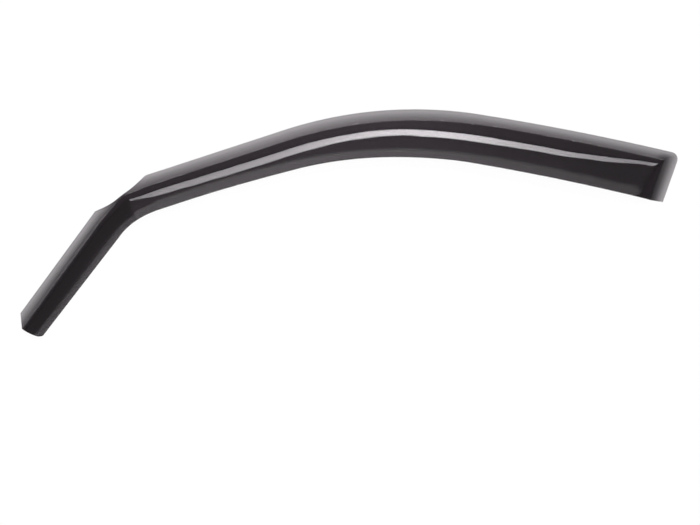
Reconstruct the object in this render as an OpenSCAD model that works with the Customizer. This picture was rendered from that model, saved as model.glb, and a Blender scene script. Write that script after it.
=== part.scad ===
// In-channel window rain deflector for a front door, lying flat on the back of its flange.
// One piece of smoked acrylic sheet: a thin flange that the window channel grips, a step
// that lifts the sheet clear of the glass, and a visor that leans out over the air gap.
// +Z is the outer face, X runs along the roof, and the leg for the windscreen pillar is at -X.

/* [Leg along the windscreen pillar] */
// Length of the leg from the bend to the tip
leg_len = 199; // [140:1:240]
// Heading of the leg, measured from the X axis
leg_slope = 53.8; // [44:0.1:64]
// Width at the tip, from the guide line to the free edge
tip_w = 23.5; // [18:0.5:30]
// The same at the top of the leg
leg_w = 27.5; // [21:0.5:34]
// How far back the flange corner is cut at the tip
tip_chamfer = 14; // [6:0.5:20]
// How far back the free edge corner is set at the tip
tip_slant = 5; // [2:0.5:8]
// Radius of the free edge corner at the tip
tip_round = 5; // [2:0.5:8]

/* [Bend] */
// Radius of the crease at the bend
crease_bend_r = 20; // [10:1:40]
// Radius of the free edge at the bend
free_bend_r = 94; // [60:1:115]
// Flange width left at the bend
notch_land = 1.3; // [0.8:0.1:3]
// Length of the flange notch on the leg side of the bend
notch_leg_len = 34; // [22:0.5:44]
// Length of the flange notch on the roof side of the bend
notch_roof_len = 35.5; // [24:0.5:60]

/* [Roof rail] */
// Heading of the straight front run
front_slope = 18.1; // [12:0.1:24]
// Length of the straight front run, from the bend
front_len = 210; // [150:1:280]
// Radius of the guide line over the crest
crest_r = 490; // [380:1:700]
// Turn of the crest
crest_turn = 27.1; // [20:0.1:34]
// Length of the rear run, up to the end crease
rear_len = 227.5; // [160:0.5:300]
// Turn of the rear run
rear_turn = 4.1; // [1:0.1:8]
// Width on the front run, from the guide line to the free edge
front_w = 30; // [24:0.5:38]
// The same behind the crest
crest_w = 44.5; // [36:0.5:54]
// The same at the rear end
rear_w = 47.5; // [38:0.5:58]

/* [Rear end] */
// Width of the flange across the rear end
end_flange_w = 14.5; // [12:0.5:20]
// Lean of the rear end away from square
end_slant = 6.4; // [2:0.1:12]
// Radius of the outer corner of the flange
end_corner_r = 10; // [6:0.5:12]
// How much the foot of the end flange is drawn in from the free edge
end_foot_lift = 1; // [0:0.1:3]

/* [Section] */
// Thickness of the sheet
sheet_t = 3; // [2:0.1:4]
// Distance from the guide line to the flange's outer edge
rim_out = 14.5; // [12:0.1:18]
// Width of the flange up to the crest
flange_w = 12.6; // [10:0.1:14]
// Width of the flange behind the crest
flange_rear_w = 11.2; // [9:0.1:14]
// Thickness of the flange at its outer edge
flange_edge_t = 0.75; // [0.6:0.05:1.2]
// Thickness of the flange at the crease, over the roof
flange_root_t = 1.8; // [1.2:0.1:2.4]
// The same on the leg
flange_leg_root_t = 2.2; // [1.2:0.1:2.6]
// The same across the rear end
flange_end_root_t = 2.4; // [1.2:0.1:2.8]
// Outside radius of the crease between flange and step
fold_r = 1.5; // [0.8:0.1:3]
// Steepness of the step
step_angle = 43; // [38:1:50]
// Straight height of the step's face, along its slope, on the leg
step_face_leg = 0.5; // [0.3:0.1:3]
// The same past the bend
step_face_bend = 7; // [4:0.1:9]
// The same on the front run
step_face_front = 9.2; // [6:0.1:11]
// The same behind the crest, for a flange as wide as in front of it
step_face_rear = 12.1; // [8:0.1:14]
// The height that the step's face runs out to past the rear end
step_face_end = 1.6; // [0.5:0.1:5]
// Outside radius of the shoulder between step and visor
shoulder_r = 10; // [7:0.5:12]
// The radius that the shoulder runs out to past the rear end
shoulder_end_r = 5; // [4.5:0.1:8]
// Lean of the visor where it leaves the shoulder
visor_lean = 18; // [14:0.5:24]
// The lean that it runs out to past the rear end
visor_end_lean = 17; // [14:0.5:24]
// Lean of the visor at its free edge
edge_lean = 4; // [0:0.5:10]
// Steepness of the wall that closes the rear end
wall_angle = 44; // [36:1:50]
// Depth of the rounding on the free edge
edge_round = 0.6; // [0.4:0.1:1.6]
// Depth of the rounding on the trimmed flange edge
trim_round = 0.3; // [0.15:0.05:0.5]

/* [Hidden] */

// The guide is the line that the cross sections stand square to. It runs inside the flange's
// outer edge, and at the bend it is a wider arc than the crease, round the free edge's centre.
bend = leg_slope - front_slope;
guide_r = free_bend_r + (leg_w + front_w) / 2;
guide_cut = guide_r * tan(bend / 2);
bend_len = guide_r * bend * PI / 180;
crest_len = crest_r * crest_turn * PI / 180;
runs = [                       // length and left turn of each run, from the tip to the rear end
    [leg_len - guide_cut, 0],
    [bend_len, -bend],
    [front_len - guide_cut, 0],
    [crest_len, -crest_turn],
    [rear_len, -rear_turn],
    [end_flange_w, 0]];
s_leg = runs[0][0];
s_bend = s_leg + runs[1][0];
s_front = s_bend + runs[2][0];
s_crest = s_front + runs[3][0];
s_rear = s_crest + runs[4][0];
s_end = s_rear + runs[5][0];
s_middle = (s_leg + s_bend) / 2;

swell_from_share = 0.2;        // share of the front run before the visor starts to widen
swell_to_share = 0.89;         // share of the crest where it has its full width
rise_from_share = 0.52;        // share of the crest where the step starts to get higher
rise_to_share = 0.86;          // and where it has its full height
leg_blend_len = 30;            // length of leg over which the step grows towards the bend
narrow_len = 80;               // length over which the flange gets narrower
narrow_before_len = 50;        // the part of it that lies before the end of the crest
end_blend_len = 120;           // length over which the step gets lower towards the rear end
end_past_len = 20;             // how far past the rear end crease that would go on
thin_len = 14;                 // length over which the flange's root thickens at the rear end
lean_len = 130;                // length over which the sections turn to the rear end's lean
swell_from = s_bend + swell_from_share * runs[2][0];
swell_to = s_front + swell_to_share * crest_len;
leg_notch_power = 1.7;         // how hollow the notch is on the leg side
roof_notch_power = 1.45;       // and on the roof side
taper_power = 1.5;             // how hollow the flange's taper is
blend_power = 4;               // how square the taper turns at the rear corner
ridge_power = 8;               // sharpness of the ridge between visor and rear wall

function smooth(x) = let(u = min(max(x, 0), 1)) u * u * (3 - 2 * u);
function mix(a, b, x) = a + (b - a) * x;
function unit(heading) = [cos(heading), sin(heading)];

// A value along the sheet that goes smoothly from each row's to the next one's.
function eased(rows, s, i = 0) =
    s <= rows[i][0] || i == len(rows) - 1 ? rows[i][1]
    : s < rows[i + 1][0]
        ? mix(rows[i][1], rows[i + 1][1], smooth((s - rows[i][0]) / (rows[i + 1][0] - rows[i][0])))
    : eased(rows, s, i + 1);

// Place and heading after going a length round an arc with the given turn.
function go(start, length, turn) =
    let(h = start[1], chord = abs(turn) < 1e-6 ? length
        : 2 * length * 180 / PI / turn * sin(turn / 2))
    [start[0] + chord * unit(h + turn / 2), h + turn];

run_starts = [for (i = 0, at = [[0, 0], leg_slope]; i < len(runs);
    at = go(at, runs[i][0], runs[i][1]), i = i + 1) at];
run_froms = [0, s_leg, s_bend, s_front, s_crest, s_rear];

function run_of(s) = s < s_leg ? 0 : s < s_bend ? 1 : s < s_front ? 2
    : s < s_crest ? 3 : s < s_rear ? 4 : 5;
function guide(s) =
    let(k = run_of(s), part = (s - run_froms[k]) / runs[k][0])
    go(run_starts[k], part * runs[k][0], part * runs[k][1]);

// At the bend the crease runs outside the guide: two straight lines joined by a small arc.
function off_tangent(s) = min(s - s_leg, s_bend - s) / bend_len * bend;
function bend_out(s) = s <= s_leg || s >= s_bend ? 0
    : let(psi = off_tangent(s), beta = bend / 2 - psi,
        d = (guide_r - crease_bend_r) / cos(bend / 2),
        psi_arc = atan((guide_r - crease_bend_r) * tan(bend / 2) / guide_r))
    (psi < psi_arc ? guide_r / cos(psi)
        : d * cos(beta) + sqrt(crease_bend_r ^ 2 - (d * sin(beta)) ^ 2)) - guide_r;

// Distance from the bend's corner, along the crease: minus on the leg, plus on the roof.
function from_corner(s) =
    s <= s_leg ? s - leg_len
    : s >= s_bend ? s - s_bend + guide_cut
    : sign(s - s_middle) * (guide_cut - guide_r * tan(off_tangent(s)));

// How far open the flange's notch at the bend is, from 0 to 1.
function notched(s) =
    let(c = from_corner(s))
    c < 0 ? min(-c / notch_leg_len, 1) ^ leg_notch_power
    : min(c / notch_roof_len, 1) ^ roof_notch_power;
function corner_cut(x, r) = x >= r ? 0 : r - sqrt(r * r - (r - x) ^ 2);

// The flange's full width, and what the notch and the rear corner leave of it.
function flange_full(s) =
    mix(flange_w, flange_rear_w, smooth((s - s_crest + narrow_before_len) / narrow_len));
function flange_at(s) = mix(notch_land, flange_full(s), notched(s)) - corner_cut(s_end - s, end_corner_r);
function crease_out(s) = bend_out(s) + (rim_out - flange_full(s)) * notched(s);

function roof_w(s) = mix(front_w, crest_w, smooth((s - swell_from) / (swell_to - swell_from)))
    + (rear_w - crest_w) * max(s - swell_to, 0) / (s_rear - swell_to);
function width_at(s) = crease_out(s) - corner_cut(s, tip_round)
    + (s < s_leg ? mix(tip_w, leg_w, s / s_leg)
        : s < s_bend ? mix(leg_w, front_w, smooth((s - s_leg) / bend_len))
        : s < s_rear ? roof_w(s)
        : rear_w - end_foot_lift * (s - s_rear) / end_flange_w);

// The shoulder keeps its line where the flange gets narrower.
face_rows = [
    [s_leg - leg_blend_len, step_face_leg],
    [s_bend, step_face_bend],
    [s_front, step_face_front],
    [s_front + rise_from_share * crest_len, step_face_front],
    [s_front + rise_to_share * crest_len, step_face_rear],
    [s_rear - end_blend_len, step_face_rear],
    [s_rear + end_past_len, step_face_end]];
shoulder_rows = [
    [s_rear - end_blend_len, shoulder_r],
    [s_rear + end_past_len, shoulder_end_r]];
lean_rows = [
    [s_rear - end_blend_len, visor_lean],
    [s_rear + end_past_len, visor_end_lean]];
root_rows = [
    [s_leg, flange_leg_root_t],
    [s_front, flange_root_t],
    [s_rear - thin_len, flange_root_t],
    [s_rear, flange_end_root_t]];
function face_at(s) = eased(face_rows, s) + (flange_w - flange_full(s)) / cos(step_angle);
function shoulder_at(s) = eased(shoulder_rows, s);
function lean_at(s) = eased(lean_rows, s);
function root_at(s) = eased(root_rows, s);

// Height above the flange at distance a in from the crease. rf and rs are the radii of the fold
// and the shoulder on the side of the sheet in question, lean is the visor's at the shoulder,
// and w is the visor's width.
function fold_a(rf) = rf * sin(step_angle);
function ramp_a(rf, face) = fold_a(rf) + face * cos(step_angle);
function shoulder_a(rf, rs, face, lean) = ramp_a(rf, face) + rs * (sin(step_angle) - sin(lean));
function rise(a, rf, rs, face, lean, w) =
    let(a1 = fold_a(rf), a2 = ramp_a(rf, face), a3 = shoulder_a(rf, rs, face, lean),
        z1 = rf * (1 - cos(step_angle)), z2 = z1 + face * sin(step_angle),
        z3 = z2 + rs * (cos(lean) - cos(step_angle)))
    a <= 0 ? 0
    : a <= a1 ? rf - sqrt(rf * rf - a * a)
    : a <= a2 ? z1 + (a - a1) * tan(step_angle)
    : a <= a3 ? z2 + rs * (sqrt(1 - (sin(step_angle) - (a - a2) / rs) ^ 2) - cos(step_angle))
    : z3 + (a - a3) * tan(lean) - (a - a3) ^ 2 / (2 * (w - a3)) * (tan(lean) - tan(edge_lean));

// Height of the rear wall at distance e in from the end crease.
function wall(e, rf) =
    let(e1 = rf * sin(wall_angle))
    e <= 0 ? 0 : e <= e1 ? rf - sqrt(rf * rf - e * e)
    : rf * (1 - cos(wall_angle)) + (e - e1) * tan(wall_angle);

// The lower of two heights, with their meeting line rounded. It is 0 where either is 0.
function lower(a, b) = a <= 0 || b <= 0 ? 0
    : a / (1 + (a / b) ^ ridge_power) ^ (1 / ridge_power);

function end_in(s) = (s_rear - s) * cos(end_slant);
function height(s, v, rf, rs) =
    lower(rise(v, rf, rs, face_at(s), lean_at(s), width_at(s)), wall(end_in(s), rf));

// The flange tapers to its outer edge, along the roof side and round the rear end alike. On
// the back it is pressed in, so that the step and the visor keep the sheet's full thickness.
function flange_t(s, v) =
    let(out = (max(-v / flange_full(s), 0) ^ blend_power
        + max((s - s_rear) / end_flange_w, 0) ^ blend_power) ^ (1 / blend_power))
    mix(flange_edge_t, root_at(s), (1 - min(out, 1)) ^ taper_power);
function pressed(s) = sheet_t - root_at(s);
function outer_z(s, v) = flange_t(s, v) + height(s, v, fold_r, shoulder_at(s));
function inner_z(s, v) = max(height(s, v, fold_r + sheet_t, shoulder_at(s) - sheet_t) - pressed(s), 0);

// A point of the sheet in the plan. v is the distance in from the crease. Near the tip and
// the rear end the sections are drawn along the sheet, so that the last ones are its edges.
function tip_cut(v) = v < 0 ? tip_chamfer * min(-v / flange_w, 1) : tip_slant * min(v / tip_w, 1) ^ 2;
function drawn(s, v) = tip_cut(v) * max(1 - s / (s_leg - tip_chamfer), 0)
    - v * tan(end_slant) * smooth(1 - (s_rear - s) / lean_len);
function plan(s, v) =
    let(at = guide(s))
    at[0] + unit(at[1] + 90) * (crease_out(s) - v) + unit(at[1]) * drawn(s, v);
function point(s, v, z) = let(p = plan(s, v)) [p[0], p[1], z];

// Stations across one face of the sheet, from the flange's edge to the free edge. The fold of
// the back face is cut off at its foot, where it leaves the plane of the flange.
flange_shares = [1, 0.66, 0.33];
fold_steps = 4;
shoulder_steps = 5;
visor_steps = 8;
least_step = 0.3;
function foot_at(s) =
    let(r = fold_r + sheet_t, risen = r * (1 - cos(step_angle)))
    pressed(s) > risen ? fold_a(r) + (pressed(s) - risen) / tan(step_angle)
    : sqrt(r ^ 2 - (r - pressed(s)) ^ 2);
function fold_places(s, rf, back) =
    let(start = max(back ? foot_at(s) : 0, rf * sin(step_angle / fold_steps)),
        end = max(fold_a(rf), start + least_step))
    [for (i = [1:fold_steps]) back ? mix(start, end, (i - 1) / (fold_steps - 1))
        : rf * sin(step_angle * i / fold_steps)];
function crossings(s, rf, rs, back) =
    let(face = face_at(s), lean = lean_at(s), f = flange_at(s) - trim_round,
        a2 = ramp_a(rf, face), a3 = shoulder_a(rf, rs, face, lean), last = width_at(s) - edge_round)
    concat(
        [for (share = flange_shares) -f * share], [0], fold_places(s, rf, back),
        [for (i = [0:shoulder_steps])
            a2 + rs * (sin(step_angle) - sin(mix(step_angle, lean, i / shoulder_steps)))],
        [for (i = [1:visor_steps]) mix(a3, last, i / visor_steps)]);

// The round edges, as angles from the outer face to the inner one.
free_edge_angles = [45, 0, -45];
trim_angles = [0];
function rounded(s, v, reach, angles) =
    let(zo = outer_z(s, v), zi = inner_z(s, v), mid = (zo + zi) / 2, half = (zo - zi) / 2)
    [for (q = angles) point(s, v + reach * cos(q), mid + half * sin(q))];

// One closed section: the back face going in, the free edge, the outer face coming back,
// and the trimmed edge of the flange.
function section(s) =
    let(back = crossings(s, fold_r + sheet_t, shoulder_at(s) - sheet_t, true),
        front = crossings(s, fold_r, shoulder_at(s), false), n = len(front))
    concat(
        [for (v = back) point(s, v, inner_z(s, v))],
        rounded(s, front[n - 1], edge_round, [for (q = free_edge_angles) -q]),
        [for (i = [1:n]) point(s, front[n - i], outer_z(s, front[n - i]))],
        rounded(s, front[0], -trim_round, trim_angles));

// Sections are close where the plan or the height turns fast, and far apart elsewhere.
function span(from, to, n) = [for (i = [0:n - 1]) mix(from, to, i / n)];
function quarter(r, n) = [for (i = [0:n - 1]) r * (1 - cos(90 * i / n))];
wall_zone_len = 20;
wall_fold_len = 4;
function past_tangent(c) = atan((guide_cut - c) / guide_r) / bend * bend_len;
s_leg_notch = notch_leg_len < guide_cut ? s_leg + past_tangent(notch_leg_len)
    : leg_len - notch_leg_len;
s_roof_notch = notch_roof_len < guide_cut ? s_bend - past_tangent(notch_roof_len)
    : s_bend + notch_roof_len - guide_cut;
stations = concat(
    quarter(tip_round, 4),
    span(tip_round, min(s_leg, s_leg_notch), 9),
    span(min(s_leg, s_leg_notch), max(s_leg, s_leg_notch), 2),
    span(max(s_leg, s_leg_notch), s_middle, 13),
    span(s_middle, min(s_bend, s_roof_notch), 14),
    span(min(s_bend, s_roof_notch), max(s_bend, s_roof_notch), 2),
    span(max(s_bend, s_roof_notch), s_front, 9),
    span(s_front, s_crest, 20),
    span(s_crest, s_rear - wall_zone_len, 12),
    span(s_rear - wall_zone_len, s_rear - wall_fold_len, 9),
    span(s_rear - wall_fold_len, s_rear, 5),
    span(s_rear, s_end - end_corner_r, 2),
    [for (x = quarter(end_corner_r, 6)) s_end - end_corner_r + sqrt(end_corner_r ^ 2
        - (end_corner_r - x) ^ 2)],
    [s_end]);

module deflector() {
    rings = [for (s = stations) section(s)];
    per = len(rings[0]);
    face = (per - len(free_edge_angles) - len(trim_angles)) / 2;
    free = len(free_edge_angles);
    points = [for (ring = rings) each ring];
    xs = [for (p = points) p[0]];
    ys = [for (p = points) p[1]];
    last = (len(rings) - 1) * per;
    // Each end is closed across the sheet, from the back face to the outer one.
    lid = concat(
        [for (i = [0:face - 2]) [i, i + 1, 2 * face + free - 2 - i]],
        [for (i = [0:face - 2]) [i, 2 * face + free - 2 - i, 2 * face + free - 1 - i]],
        [for (i = [0:free - 1]) [face - 1, face + i, face + i + 1]],
        [[0, 2 * face + free - 1, per - 1]]);
    sides = [for (j = [0:len(rings) - 2]) for (i = [0:per - 1])
        let(a = j * per + i, b = j * per + (i + 1) % per)
        each [[a, b, b + per], [a, b + per, a + per]]];
    color([0.13, 0.12, 0.13, 0.9])
    translate([-(min(xs) + max(xs)) / 2, -(min(ys) + max(ys)) / 2, 0])
    polyhedron(
        points = points,
        faces = concat(sides, [for (f = lid) [f[2], f[1], f[0]]],
            [for (f = lid) [f[0] + last, f[1] + last, f[2] + last]]),
        convexity = 8);
}

deflector();
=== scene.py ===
import math

import bpy
import numpy as np
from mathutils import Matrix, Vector


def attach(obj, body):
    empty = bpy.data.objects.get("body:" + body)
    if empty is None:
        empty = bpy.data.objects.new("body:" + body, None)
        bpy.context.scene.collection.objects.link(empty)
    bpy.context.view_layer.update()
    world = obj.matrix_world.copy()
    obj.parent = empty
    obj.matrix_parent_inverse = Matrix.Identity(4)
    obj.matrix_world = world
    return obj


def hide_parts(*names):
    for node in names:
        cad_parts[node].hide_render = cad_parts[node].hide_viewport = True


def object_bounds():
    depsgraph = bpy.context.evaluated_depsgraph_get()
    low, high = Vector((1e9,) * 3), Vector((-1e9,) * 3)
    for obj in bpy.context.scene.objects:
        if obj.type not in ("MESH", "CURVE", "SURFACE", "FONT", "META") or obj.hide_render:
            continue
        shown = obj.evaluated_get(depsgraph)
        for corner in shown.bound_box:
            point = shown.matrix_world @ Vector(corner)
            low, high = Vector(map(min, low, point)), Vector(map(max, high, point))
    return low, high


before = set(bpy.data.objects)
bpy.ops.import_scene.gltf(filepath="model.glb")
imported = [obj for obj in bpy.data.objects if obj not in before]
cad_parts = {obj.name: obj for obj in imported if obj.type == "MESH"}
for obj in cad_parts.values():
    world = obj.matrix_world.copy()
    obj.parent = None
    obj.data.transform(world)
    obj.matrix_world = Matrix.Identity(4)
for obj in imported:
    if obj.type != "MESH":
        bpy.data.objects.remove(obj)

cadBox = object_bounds()
mm = 0.001

# sizes of the formed sheet, in mm and degrees, the same as in the part's source
sheet = {
    "legLen": 199.0, "legSlope": 53.8, "tipWidth": 23.5, "legWidth": 27.5,
    "tipChamfer": 14.0, "tipSlant": 5.0, "tipRound": 5.0,
    "creaseBendR": 20.0, "freeBendR": 94.0, "notchLand": 1.3,
    "notchLegLen": 34.0, "notchRoofLen": 35.5, "legNotchPower": 1.7, "roofNotchPower": 1.45,
    "frontSlope": 18.1, "frontLen": 210.0, "crestR": 490.0, "crestTurn": 27.1,
    "rearLen": 227.5, "rearTurn": 4.1,
    "frontWidth": 30.0, "crestWidth": 44.5, "rearWidth": 47.5, "rimOut": 14.5,
    "swellStart": 0.2, "swellEnd": 0.89,
    "endFlange": 14.5, "endSlant": 6.4, "endCornerR": 10.0, "endFootLift": 1.0,
    "thickness": 3.0, "flangeRootT": 1.8, "flangeLegRootT": 2.2,
    "flangeEndRootT": 2.4, "flangeEdgeT": 0.75,
    "flangeWidth": 12.6, "flangeRearWidth": 11.2, "taperPower": 1.5,
    "foldR": 1.5, "stepAngle": 43.0, "stepLeg": 0.5, "stepBend": 7.0, "stepFront": 9.2,
    "stepRear": 12.1, "stepEnd": 1.6, "shoulderR": 10.0, "shoulderEndR": 5.0,
    "visorLean": 18.0, "visorEndLean": 17.0, "edgeLean": 4.0, "wallAngle": 44.0,
    "edgeRound": 0.6, "trimRound": 0.3,
    "riseStart": 0.52, "riseEnd": 0.86, "narrowBlend": 80.0, "narrowBefore": 50.0,
    "legBlend": 30.0, "endBlend": 120.0, "endPast": 20.0, "thinBlend": 14.0, "leanBlend": 130.0,
    "blendPower": 4.0, "ridgePower": 8.0,
}

# how finely the sheet is meshed: steps across and round it, step lengths in mm, an angle in degrees
meshing = {
    "flange": 5, "fold": 8, "ramp": 3, "shoulder": 12, "least": 0.3, "visor": 26, "freeEdge": 9, "trim": 5,
    "alongStep": 3.0, "bendStep": 0.9, "wallStep": 0.35, "wallZone": 22.0, "endStep": 1.0,
    "tipSteps": 12, "cornerSteps": 16, "sharpFrom": 40,
}

# smoked acrylic: absorption for each mm of sheet, the surface's polish, and its waves in mm
acrylic = {
    "absorb": (0.975, 1.0, 0.98), "perMm": 1.45, "ior": 1.49, "polish": 0.03,
    "waveSize": 60.0, "waveHeight": 0.003, "waveDetail": 2,
}


def smooth(x):
    u = np.clip(x, 0, 1)
    return u * u * (3 - 2 * u)


def mix(a, b, x):
    return a + (b - a) * x


def heading(angle):
    a = np.radians(angle)
    return np.stack([np.cos(a), np.sin(a)], -1)


def sine(angle):
    return math.sin(math.radians(angle))


def cosine(angle):
    return math.cos(math.radians(angle))


def tangent(angle):
    return math.tan(math.radians(angle))


def goAlong(place, angle, length, turn):
    # place and angle after an arc of that length and turn
    chord = length if abs(turn) < 1e-6 else 2 * length / math.radians(turn) * sine(turn / 2)
    return place + chord * heading(angle + turn / 2), angle + turn


class Guide:
    # the line that the cross sections stand square to, from the tip to the rear end

    def __init__(self, p):
        self.p = p
        self.bend = p["legSlope"] - p["frontSlope"]
        self.radius = p["freeBendR"] + (p["legWidth"] + p["frontWidth"]) / 2
        self.cut = self.radius * tangent(self.bend / 2)
        self.runs = [
            (p["legLen"] - self.cut, 0),
            (self.radius * math.radians(self.bend), -self.bend),
            (p["frontLen"] - self.cut, 0),
            (p["crestR"] * math.radians(p["crestTurn"]), -p["crestTurn"]),
            (p["rearLen"], -p["rearTurn"]),
            (p["endFlange"], 0),
        ]
        self.marks = np.concatenate([[0], np.cumsum([r[0] for r in self.runs])])
        self.leg, self.bendEnd, self.front, self.crest, self.rear, self.end = self.marks[1:]
        self.starts = [(np.zeros(2), p["legSlope"])]
        for length, turn in self.runs:
            self.starts.append(goAlong(*self.starts[-1], length, turn))

    def at(self, s):
        k = min(int(np.searchsorted(self.marks[1:], s, side="right")), len(self.runs) - 1)
        share = (s - self.marks[k]) / self.runs[k][0]
        return goAlong(*self.starts[k], share * self.runs[k][0], share * self.runs[k][1])

    def offTangent(self, s):
        return min(s - self.leg, self.bendEnd - s) / self.runs[1][0] * self.bend

    def notched(self, s):
        # how far open the flange's notch at the bend is, from 0 to 1
        c = self.fromCorner(s)
        if c < 0:
            return min(-c / self.p["notchLegLen"], 1) ** self.p["legNotchPower"]
        return min(c / self.p["notchRoofLen"], 1) ** self.p["roofNotchPower"]

    def flangeFull(self, s):
        # the flange's width where no notch or corner cuts into it
        p = self.p
        past = (s - self.crest + p["narrowBefore"]) / p["narrowBlend"]
        return mix(p["flangeWidth"], p["flangeRearWidth"], smooth(past))

    def creaseOut(self, s):
        return self.bendOut(s) + (self.p["rimOut"] - self.flangeFull(s)) * self.notched(s)

    def bendOut(self, s):
        # round the bend the crease is two straight lines and a small arc, outside the guide's wide one
        if s <= self.leg or s >= self.bendEnd:
            return 0.0
        psi, half, small = self.offTangent(s), self.bend / 2, self.p["creaseBendR"]
        apart = self.radius - small
        if psi < math.degrees(math.atan(apart * tangent(half) / self.radius)):
            return self.radius / cosine(psi) - self.radius
        d, beta = apart / cosine(half), half - psi
        return d * cosine(beta) + math.sqrt(small ** 2 - (d * sine(beta)) ** 2) - self.radius

    def fromCorner(self, s):
        if s <= self.leg:
            return s - self.p["legLen"]
        if s >= self.bendEnd:
            return s - self.bendEnd + self.cut
        side = 1 if s > (self.leg + self.bendEnd) / 2 else -1
        return side * (self.cut - self.radius * tangent(self.offTangent(s)))


def cornerCut(x, r):
    return 0.0 if x >= r else r - math.sqrt(max(r * r - (r - x) ** 2, 0))


def flangeAt(g, s):
    p = g.p
    return mix(p["notchLand"], g.flangeFull(s), g.notched(s)) - cornerCut(g.end - s, p["endCornerR"])


def widthAt(g, s):
    p = g.p
    swellFrom = g.bendEnd + p["swellStart"] * g.runs[2][0]
    swellTo = g.front + p["swellEnd"] * g.runs[3][0]
    if s < g.leg:
        w = mix(p["tipWidth"], p["legWidth"], s / g.leg)
    elif s < g.bendEnd:
        w = mix(p["legWidth"], p["frontWidth"], smooth((s - g.leg) / g.runs[1][0]))
    elif s < g.rear:
        w = mix(p["frontWidth"], p["crestWidth"], smooth((s - swellFrom) / (swellTo - swellFrom)))
        w += (p["rearWidth"] - p["crestWidth"]) * max(s - swellTo, 0) / (g.rear - swellTo)
    else:
        w = p["rearWidth"] - p["endFootLift"] * (s - g.rear) / p["endFlange"]
    return w + g.creaseOut(s) - cornerCut(s, p["tipRound"])


def eased(table, s):
    # a value that goes smoothly from each row's to the next one's
    if s <= table[0][0]:
        return table[0][1]
    for (s0, v0), (s1, v1) in zip(table, table[1:]):
        if s < s1:
            return mix(v0, v1, smooth((s - s0) / (s1 - s0)))
    return table[-1][1]


def faceAt(g, s):
    # the shoulder keeps its line where the flange gets narrower
    p = g.p
    face = eased([
        (g.leg - p["legBlend"], p["stepLeg"]), (g.bendEnd, p["stepBend"]),
        (g.front, p["stepFront"]), (g.front + p["riseStart"] * g.runs[3][0], p["stepFront"]),
        (g.front + p["riseEnd"] * g.runs[3][0], p["stepRear"]),
        (g.rear - p["endBlend"], p["stepRear"]), (g.rear + p["endPast"], p["stepEnd"])], s)
    return face + (p["flangeWidth"] - g.flangeFull(s)) / cosine(p["stepAngle"])


def shoulderAt(g, s):
    p = g.p
    return eased([(g.rear - p["endBlend"], p["shoulderR"]), (g.rear + p["endPast"], p["shoulderEndR"])], s)


def leanAt(g, s):
    p = g.p
    return eased([(g.rear - p["endBlend"], p["visorLean"]), (g.rear + p["endPast"], p["visorEndLean"])], s)


def rootAt(g, s):
    # the flange's thickness at the crease
    p = g.p
    return eased([
        (g.leg, p["flangeLegRootT"]), (g.front, p["flangeRootT"]),
        (g.rear - p["thinBlend"], p["flangeRootT"]), (g.rear, p["flangeEndRootT"])], s)


def profileMarks(p, foldR, shoulderR, face, lean):
    a1 = foldR * sine(p["stepAngle"])
    a2 = a1 + face * cosine(p["stepAngle"])
    a3 = a2 + shoulderR * (sine(p["stepAngle"]) - sine(lean))
    return a1, a2, a3


def riseAt(p, a, foldR, shoulderR, face, lean, width):
    # height over the flange at distance a in from the crease
    top = p["stepAngle"]
    a1, a2, a3 = profileMarks(p, foldR, shoulderR, face, lean)
    z1 = foldR * (1 - cosine(top))
    z2 = z1 + face * sine(top)
    z3 = z2 + shoulderR * (cosine(lean) - cosine(top))
    fold = foldR - np.sqrt(np.maximum(foldR ** 2 - a * a, 0))
    ramp = z1 + (a - a1) * tangent(top)
    swing = np.clip(sine(top) - (a - a2) / shoulderR, -1, 1)
    shoulder = z2 + shoulderR * (np.sqrt(1 - swing ** 2) - cosine(top))
    b = a - a3
    visor = z3 + b * tangent(lean) - b * b / (2 * (width - a3)) * (tangent(lean) - tangent(p["edgeLean"]))
    return np.select([a <= 0, a <= a1, a <= a2, a <= a3], [0 * a, fold, ramp, shoulder], visor)


def wallAt(p, e, foldR):
    e1 = foldR * sine(p["wallAngle"])
    if e <= 0:
        return 0.0
    if e <= e1:
        return foldR - math.sqrt(foldR ** 2 - e * e)
    return foldR * (1 - cosine(p["wallAngle"])) + (e - e1) * tangent(p["wallAngle"])


def lowerOf(p, a, b):
    if b <= 0:
        return 0 * a
    k = p["ridgePower"]
    return np.where(a > 0, a / (1 + (np.maximum(a, 0) / b) ** k) ** (1 / k), 0)


def heightAt(g, s, v, foldR, shoulderR):
    p = g.p
    rise = riseAt(p, v, foldR, shoulderR, faceAt(g, s), leanAt(g, s), widthAt(g, s))
    return lowerOf(p, rise, wallAt(p, (g.rear - s) * cosine(p["endSlant"]), foldR))


def flangeT(g, s, v):
    # the flange tapers to its outer edge, along the roof side and round the rear end alike
    p, k = g.p, g.p["blendPower"]
    across, past = np.maximum(-v / g.flangeFull(s), 0), max((s - g.rear) / p["endFlange"], 0)
    out = (across ** k + past ** k) ** (1 / k)
    return mix(p["flangeEdgeT"], rootAt(g, s), (1 - np.minimum(out, 1)) ** p["taperPower"])


def outerZ(g, s, v):
    return flangeT(g, s, v) + heightAt(g, s, v, g.p["foldR"], shoulderAt(g, s))


def innerZ(g, s, v):
    # the sheet keeps its full thickness square to the step, and the flange is pressed thinner
    p = g.p
    z = heightAt(g, s, v, p["foldR"] + p["thickness"], shoulderAt(g, s) - p["thickness"])
    return np.maximum(z - (p["thickness"] - rootAt(g, s)), 0)


def footAt(g, s):
    # how far in from the crease the back face leaves the flange's plane
    p = g.p
    r, top, drop = p["foldR"] + p["thickness"], p["stepAngle"], p["thickness"] - rootAt(g, s)
    risen = r * (1 - cosine(top))
    if drop > risen:
        return r * sine(top) + (drop - risen) / tangent(top)
    return math.sqrt(r ** 2 - (r - drop) ** 2)


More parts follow.
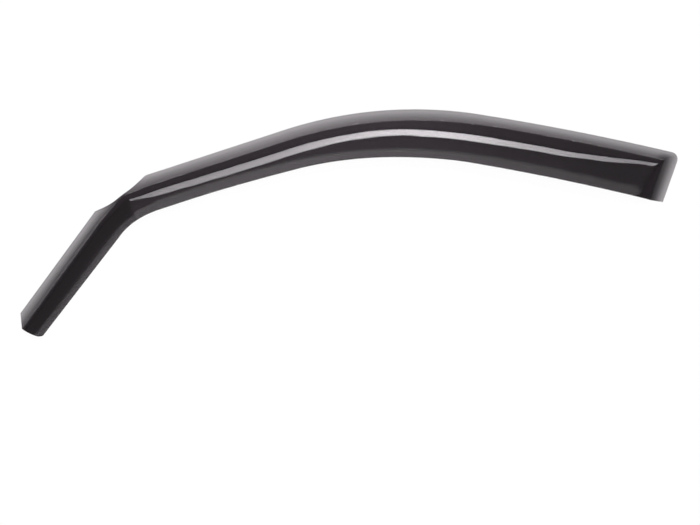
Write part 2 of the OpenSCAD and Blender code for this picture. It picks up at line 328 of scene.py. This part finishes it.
def placed(g, s, v, z):
    # points of the sheet from distances v in from the crease, with the ends drawn along it
    p = g.p
    place, angle = g.at(s)
    cut = np.where(v < 0, p["tipChamfer"] * np.minimum(-v / g.flangeFull(s), 1),
                   p["tipSlant"] * np.minimum(np.maximum(v, 0) / p["tipWidth"], 1) ** 2)
    drawn = cut * max(1 - s / (g.leg - p["tipChamfer"]), 0)
    drawn = drawn - v * tangent(p["endSlant"]) * smooth(1 - (g.rear - s) / p["leanBlend"])
    xy = place + (g.creaseOut(s) - v)[:, None] * heading(angle + 90) + drawn[:, None] * heading(angle)
    return np.column_stack([xy, z])


def crossings(g, s, foldR, shoulderR, foot):
    p, n = g.p, meshing
    top, lean = p["stepAngle"], leanAt(g, s)
    a1, a2, a3 = profileMarks(p, foldR, shoulderR, faceAt(g, s), lean)
    flange = flangeAt(g, s) - p["trimRound"]
    fold = foldR * np.sin(np.radians(np.linspace(0, top, n["fold"] + 1)))
    if foot > 0:
        # the back face's fold is cut off where it leaves the flange's plane
        start = max(foot, fold[1])
        fold[1:] = np.linspace(start, max(a1, start + n["least"]), n["fold"])
    ramp = np.linspace(fold[-1], a2, n["ramp"] + 1)[1:-1]
    shoulder = a2 + shoulderR * (sine(top) - np.sin(np.radians(np.linspace(top, lean, n["shoulder"] + 1))))
    visor = np.linspace(a3, widthAt(g, s) - p["edgeRound"], n["visor"] + 1)[1:]
    return np.concatenate([-flange * np.linspace(1, 0, n["flange"] + 1)[:-1], fold, ramp, shoulder, visor])


def roundedEdge(g, s, v, reach, count):
    q = np.radians(np.linspace(90, -90, count + 2)[1:-1])
    v0 = np.array([v])
    zo, zi = outerZ(g, s, v0)[0], innerZ(g, s, v0)[0]
    return placed(g, s, v + reach * np.cos(q), (zo + zi) / 2 + (zo - zi) / 2 * np.sin(q))


def sectionAt(g, s):
    # back face going in, free edge, outer face coming back, trimmed flange edge
    p, n = g.p, meshing
    back = crossings(g, s, p["foldR"] + p["thickness"], shoulderAt(g, s) - p["thickness"], footAt(g, s))
    front = crossings(g, s, p["foldR"], shoulderAt(g, s), 0)
    return np.concatenate([
        placed(g, s, back, innerZ(g, s, back)),
        roundedEdge(g, s, front[-1], p["edgeRound"], n["freeEdge"])[::-1],
        placed(g, s, front[::-1], outerZ(g, s, front[::-1])),
        roundedEdge(g, s, front[0], -p["trimRound"], n["trim"])])


def stationsFor(g):
    p, n = g.p, meshing

    def span(a, b, step):
        return np.linspace(a, b, max(int(math.ceil((b - a) / step)), 1) + 1)[:-1]

    tip = p["tipRound"] * (1 - np.cos(np.linspace(0, math.pi / 2, n["tipSteps"] + 1)[:-1]))
    corner = g.end - p["endCornerR"] * (1 - np.sin(np.linspace(0, math.pi / 2, n["cornerSteps"] + 1)))
    return np.concatenate([
        tip, span(p["tipRound"], g.leg, n["alongStep"]), span(g.leg, g.bendEnd, n["bendStep"]),
        span(g.bendEnd, g.rear - n["wallZone"], n["alongStep"]),
        span(g.rear - n["wallZone"], g.rear, n["wallStep"]),
        span(g.rear, g.end - p["endCornerR"], n["endStep"]), corner])


def makeDeflector():
    g = Guide(sheet)
    rings = [sectionAt(g, s) for s in stationsFor(g)]
    per, free, trim = len(rings[0]), meshing["freeEdge"], meshing["trim"]
    face = (per - free - trim) // 2
    verts = np.concatenate(rings)
    low, high = np.array(cadBox) / mm
    size, middle = high - low, (low + high) / 2
    verts[:, :2] -= (verts[:, :2].min(0) + verts[:, :2].max(0)) / 2
    # the finer mesh reaches a hair past the facets of the CAD model, and is drawn in to them
    verts *= np.minimum(size / (verts.max(0) - verts.min(0)), 1)
    verts[:, :2] += middle[:2]
    faces = []
    for j in range(len(rings) - 1):
        a = j * per
        for i in range(per):
            k = (i + 1) % per
            faces.append((a + i, a + i + per, a + k + per, a + k))
    # each end is closed across the sheet, and round its two edges
    lid = [(i, i + 1, 2 * face + free - 2 - i, 2 * face + free - 1 - i) for i in range(face - 1)]
    lid.append(tuple(range(face - 1, face + free + 1)))
    lid.append(tuple(range(2 * face + free - 1, per)) + (0,))
    last = (len(rings) - 1) * per
    faces += lid
    faces += [tuple(last + i for i in reversed(f)) for f in lid]
    mesh = bpy.data.meshes.new("deflector sheet")
    mesh.from_pydata((verts * mm).tolist(), [], faces)
    mesh.validate()
    mesh.shade_smooth()
    mesh.set_sharp_from_angle(angle=math.radians(meshing["sharpFrom"]))
    sheetOb = bpy.data.objects.new("deflector_sheet", mesh)
    bpy.context.scene.collection.objects.link(sheetOb)
    print("deflector:", len(verts), "points,", len(faces), "faces")
    return sheetOb


def acrylicMaterial():
    m = bpy.data.materials.new("smoked acrylic")
    m.use_nodes = True
    nt = m.node_tree
    shader = nt.nodes["Principled BSDF"]
    shader.inputs["Base Color"].default_value = (1, 1, 1, 1)
    shader.inputs["Transmission Weight"].default_value = 1.0
    shader.inputs["Roughness"].default_value = acrylic["polish"]
    shader.inputs["IOR"].default_value = acrylic["ior"]
    inside = nt.nodes.new("ShaderNodeVolumeAbsorption")
    strongest = max(acrylic["absorb"])
    inside.inputs["Density"].default_value = strongest * acrylic["perMm"] / mm
    inside.inputs["Color"].default_value = (*[1 - a / strongest for a in acrylic["absorb"]], 1)
    nt.links.new(inside.outputs["Volume"], nt.nodes["Material Output"].inputs["Volume"])
    # thermoformed sheet is never quite flat: long, very low waves in the gloss
    place = nt.nodes.new("ShaderNodeTexCoord")
    wave = nt.nodes.new("ShaderNodeTexNoise")
    wave.inputs["Scale"].default_value = 1 / (acrylic["waveSize"] * mm)
    wave.inputs["Detail"].default_value = acrylic["waveDetail"]
    bump = nt.nodes.new("ShaderNodeBump")
    bump.inputs["Strength"].default_value = 1.0
    bump.inputs["Distance"].default_value = acrylic["waveHeight"] * mm
    nt.links.new(place.outputs["Object"], wave.inputs["Vector"])
    nt.links.new(wave.outputs["Fac"], bump.inputs["Height"])
    nt.links.new(bump.outputs["Normal"], shader.inputs["Normal"])
    return m


# floor, world and camera: the photo's centre, the frame and the sensor in mm, other lengths in m
studio = {
    "floorSize": 60.0, "floorDrop": 0.0005, "floorColour": 0.9, "floorRoughness": 0.9,
    "floorOwnLight": 0.94, "world": 0.1, "photoCentre": (1.2, -47.5), "frameWidth": 840.0,
    "cameraHeight": 8.0, "sensorWidth": 36.0, "clipEnd": 100.0,
}

# softboxes round the table, in m: rows of (x, near or low edge, far or high edge, radiance) from
# left to right. Those with a height lie level at it, the one with a depth stands behind the table,
# and the one with a right stands at that x, with the y of each row in the place of its x
softboxes = {
    "strip": {"height": 1.26, "feather": 0.01, "rim": 0.05, "tint": (1.0, 0.95, 0.985), "columns": [
        (-0.9, 1.35, 1.4, 5.6), (-0.8, 1.1, 1.4, 5.7), (-0.71, 0.85, 1.4, 5.8),
        (-0.68, 0.828, 1.35, 5.9), (-0.655, 0.787, 1.3, 6.0), (-0.62, 0.752, 1.25, 6.2),
        (-0.57, 0.737, 1.15, 6.7), (-0.5, 0.734, 1.11, 7.4), (-0.47, 0.712, 1.1, 7.7),
        (-0.44, 0.687, 1.1, 8.1), (-0.37, 0.684, 1.1, 9.1), (-0.28, 0.746, 1.11, 11.0),
        (-0.22, 0.77, 1.15, 12.5), (-0.15, 0.82, 1.15, 13.8), (-0.02, 0.87, 1.15, 16.8),
        (0.13, 0.865, 1.15, 17.7), (0.34, 0.85, 1.15, 13.2), (0.42, 0.855, 1.15, 10.0),
        (0.6, 0.86, 1.15, 8.0), (0.63, 0.848, 1.15, 7.8), (0.67, 0.824, 1.15, 7.4),
        (0.715, 0.817, 1.15, 6.5), (0.727, 0.833, 1.15, 6.2), (0.78, 0.845, 1.15, 6.0),
        (1.1, 0.85, 1.15, 6.0)]},
    "panel": {"height": 1.26, "feather": 0.09, "rim": 0.33, "tint": (1.0, 0.92, 0.98), "columns": [
        (-0.79, -0.3, 0.05, 1.4), (-0.76, -0.3, 0.06, 1.55), (-0.72, -0.3, 0.075, 1.55),
        (-0.68, -0.3, 0.12, 1.35), (-0.64, -0.3, 0.255, 1.4), (-0.6, -0.3, 0.272, 1.65),
        (-0.56, -0.3, 0.3, 1.9), (-0.52, -0.3, 0.352, 1.98), (-0.48, -0.3, 0.422, 1.9),
        (-0.44, -0.3, 0.48, 1.76), (-0.4, -0.3, 0.515, 1.8), (-0.35, -0.3, 0.53, 1.93),
        (-0.24, -0.3, 0.49, 2.16), (-0.15, -0.3, 0.45, 2.25), (0.05, -0.3, 0.432, 1.98),
        (0.25, -0.3, 0.44, 1.68), (0.35, -0.3, 0.43, 1.5), (0.45, -0.3, 0.385, 1.4),
        (0.55, -0.3, 0.37, 1.36), (0.64, -0.3, 0.295, 1.2), (0.69, -0.2, 0.235, 1.1),
        (0.73, 0.0, 0.18, 1.1), (0.8, 0.02, 0.13, 1.0), (1.0, -0.02, 0.06, 1.0), (1.2, -0.08, 0.0, 1.0),
        (1.35, -0.12, -0.05, 0.6)]},
    "glow": {"height": 1.8, "feather": 0.3, "rim": 0.0, "tint": (1.0, 0.84, 0.97), "columns": [
        (-2.2, -0.1, 1.6, 0.08), (-1.6, -0.1, 1.6, 0.2), (-1.2, -0.1, 1.6, 0.2),
        (-1.0, -0.1, 1.6, 0.24), (-0.88, -0.1, 1.6, 0.46), (-0.75, -0.1, 1.6, 0.48),
        (-0.35, -0.1, 1.6, 0.7), (-0.17, -0.1, 1.6, 0.73), (0.06, -0.1, 1.6, 0.66),
        (0.3, -0.1, 1.6, 0.51), (0.55, -0.1, 1.6, 0.36), (0.8, -0.1, 1.6, 0.31), (1.4, -0.1, 1.6, 0.3),
        (2.2, -0.5, 1.6, 0.32), (3.6, -0.9, 1.6, 0.32)]},
    "card": {"depth": 3.0, "feather": 0.05, "rim": 0.0, "tint": (1.0, 0.84, 0.97), "columns": [
        (-6.0, 0.05, 3.5, 0.35), (-2.2, 0.05, 3.5, 0.4), (-1.2, 0.05, 3.5, 0.5),
        (-0.9, 0.05, 3.5, 0.62), (-0.1, 0.05, 3.5, 0.75), (0.25, 0.05, 3.5, 0.69),
        (0.67, 0.05, 3.5, 0.5), (0.95, 0.05, 3.5, 0.4), (1.6, 0.05, 3.5, 0.32), (3.0, 0.05, 3.5, 0.3)]},
    "side": {"right": 4.0, "feather": 0.05, "rim": 0.0, "tint": (1.0, 0.84, 0.97), "columns": [
        (-4.0, 0.05, 4.0, 0.3), (-2.4, 0.05, 4.0, 0.3), (-0.4, 0.05, 4.0, 0.3),
        (1.5, 0.05, 4.0, 0.25)]},
}
# a lamp on the near side, which lights the floor and is in no reflection that the camera sees
fill = {"from": (0.0, -1.6, 1.5), "aim": (0.0, 0.0, 0.0), "size": 1.5, "radiance": 6.0}


def makeFloor():
    size = studio["floorSize"] / 2
    mesh = bpy.data.meshes.new("floor")
    corners = [(-size, -size), (size, -size), (size, size), (-size, size)]
    mesh.from_pydata([(x, y, -studio["floorDrop"]) for x, y in corners], [], [(0, 1, 2, 3)])
    floor = bpy.data.objects.new("floor", mesh)
    bpy.context.scene.collection.objects.link(floor)
    m = bpy.data.materials.new("white floor")
    m.use_nodes = True
    nt = m.node_tree
    lit = nt.nodes["Principled BSDF"]
    c = studio["floorColour"]
    lit.inputs["Base Color"].default_value = (c, c, c, 1)
    lit.inputs["Roughness"].default_value = studio["floorRoughness"]
    lit.inputs["Specular IOR Level"].default_value = 0.0
    # seen directly, reflected or through the sheet it is mostly plain white
    white = nt.nodes.new("ShaderNodeEmission")
    path = nt.nodes.new("ShaderNodeLightPath")
    most = None
    for ray in ("Is Camera Ray", "Is Glossy Ray", "Is Transmission Ray"):
        node = nt.nodes.new("ShaderNodeMath")
        node.operation = "MAXIMUM"
        nt.links.new(path.outputs[ray], node.inputs[0])
        if most:
            nt.links.new(most.outputs[0], node.inputs[1])
        else:
            node.inputs[1].default_value = 0.0
        most = node
    share = nt.nodes.new("ShaderNodeMath")
    share.operation = "MULTIPLY"
    share.inputs[1].default_value = studio["floorOwnLight"]
    nt.links.new(most.outputs[0], share.inputs[0])
    both = nt.nodes.new("ShaderNodeMixShader")
    nt.links.new(share.outputs[0], both.inputs[0])
    nt.links.new(lit.outputs[0], both.inputs[1])
    nt.links.new(white.outputs[0], both.inputs[2])
    nt.links.new(both.outputs[0], nt.nodes["Material Output"].inputs["Surface"])
    mesh.materials.append(m)


def makeSoftbox(name, spec):
    # a soft border with the rim's share of the radiance runs round the rows
    soft, rim, columns = spec["feather"], spec["rim"], spec["columns"]
    first, last = columns[0], columns[-1]
    columns = [(first[0] - soft, *first[1:3], rim * first[3])] + columns + [
        (last[0] + soft, *last[1:3], rim * last[3])]
    points, glow, faces = [], [], []
    for x, near, far, radiance in columns:
        for y, share in ((near - soft, rim), (near, 1), (far, 1), (far + soft, rim)):
            if "height" in spec:
                points.append((x, y, spec["height"]))
            elif "depth" in spec:
                points.append((x, spec["depth"], y))
            else:
                points.append((spec["right"], x, y))
            glow.append(radiance * share)
    for j in range(len(columns) - 1):
        for i in range(3):
            a = 4 * j + i
            faces.append((a, a + 1, a + 5, a + 4))
    mesh = bpy.data.meshes.new(name)
    mesh.from_pydata(points, [], faces)
    mesh.attributes.new("glow", "FLOAT", "POINT").data.foreach_set("value", glow)
    m = bpy.data.materials.new(name)
    m.use_nodes = True
    nt = m.node_tree
    nt.nodes.remove(nt.nodes["Principled BSDF"])
    light = nt.nodes.new("ShaderNodeEmission")
    light.inputs["Color"].default_value = (*spec["tint"], 1)
    level = nt.nodes.new("ShaderNodeAttribute")
    level.attribute_name = "glow"
    nt.links.new(level.outputs["Fac"], light.inputs["Strength"])
    nt.links.new(light.outputs[0], nt.nodes["Material Output"].inputs["Surface"])
    mesh.materials.append(m)
    ob = bpy.data.objects.new(name, mesh)
    ob.visible_camera = False
    ob.visible_shadow = False
    bpy.context.scene.collection.objects.link(ob)


def makeWorld():
    world = bpy.data.worlds.new("studio")
    bpy.context.scene.world = world
    world.use_nodes = True
    c = studio["world"]
    world.node_tree.nodes["Background"].inputs["Color"].default_value = (c, c, c, 1)


def makeFill():
    light = bpy.data.lights.new("fill", "AREA")
    light.shape = "SQUARE"
    light.size = fill["size"]
    light.energy = fill["radiance"] * math.pi * light.size ** 2
    ob = bpy.data.objects.new("fill", light)
    ob.location = fill["from"]
    aim = Vector(fill["aim"]) - Vector(fill["from"])
    ob.rotation_euler = aim.to_track_quat("-Z", "Y").to_euler()
    ob.visible_camera = False
    bpy.context.scene.collection.objects.link(ob)


def makeCamera():
    x, y = (v * mm for v in studio["photoCentre"])
    cam = bpy.data.cameras.new("camera")
    cam.sensor_width = studio["sensorWidth"]
    cam.lens = cam.sensor_width * studio["cameraHeight"] / (studio["frameWidth"] * mm)
    cam.clip_end = studio["clipEnd"]
    ob = bpy.data.objects.new("camera", cam)
    ob.location = (x, y, studio["cameraHeight"])
    bpy.context.scene.collection.objects.link(ob)
    bpy.context.scene.camera = ob


makeCamera()
makeWorld()
for name, spec in softboxes.items():
    makeSoftbox(name, spec)
makeFill()
makeFloor()
print("studio ready")

deflector = makeDeflector()
deflector.data.materials.append(acrylicMaterial())
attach(deflector, "root")
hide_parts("deflector")
print("deflector ready")

bpy.context.scene.view_settings.view_transform = "Standard"
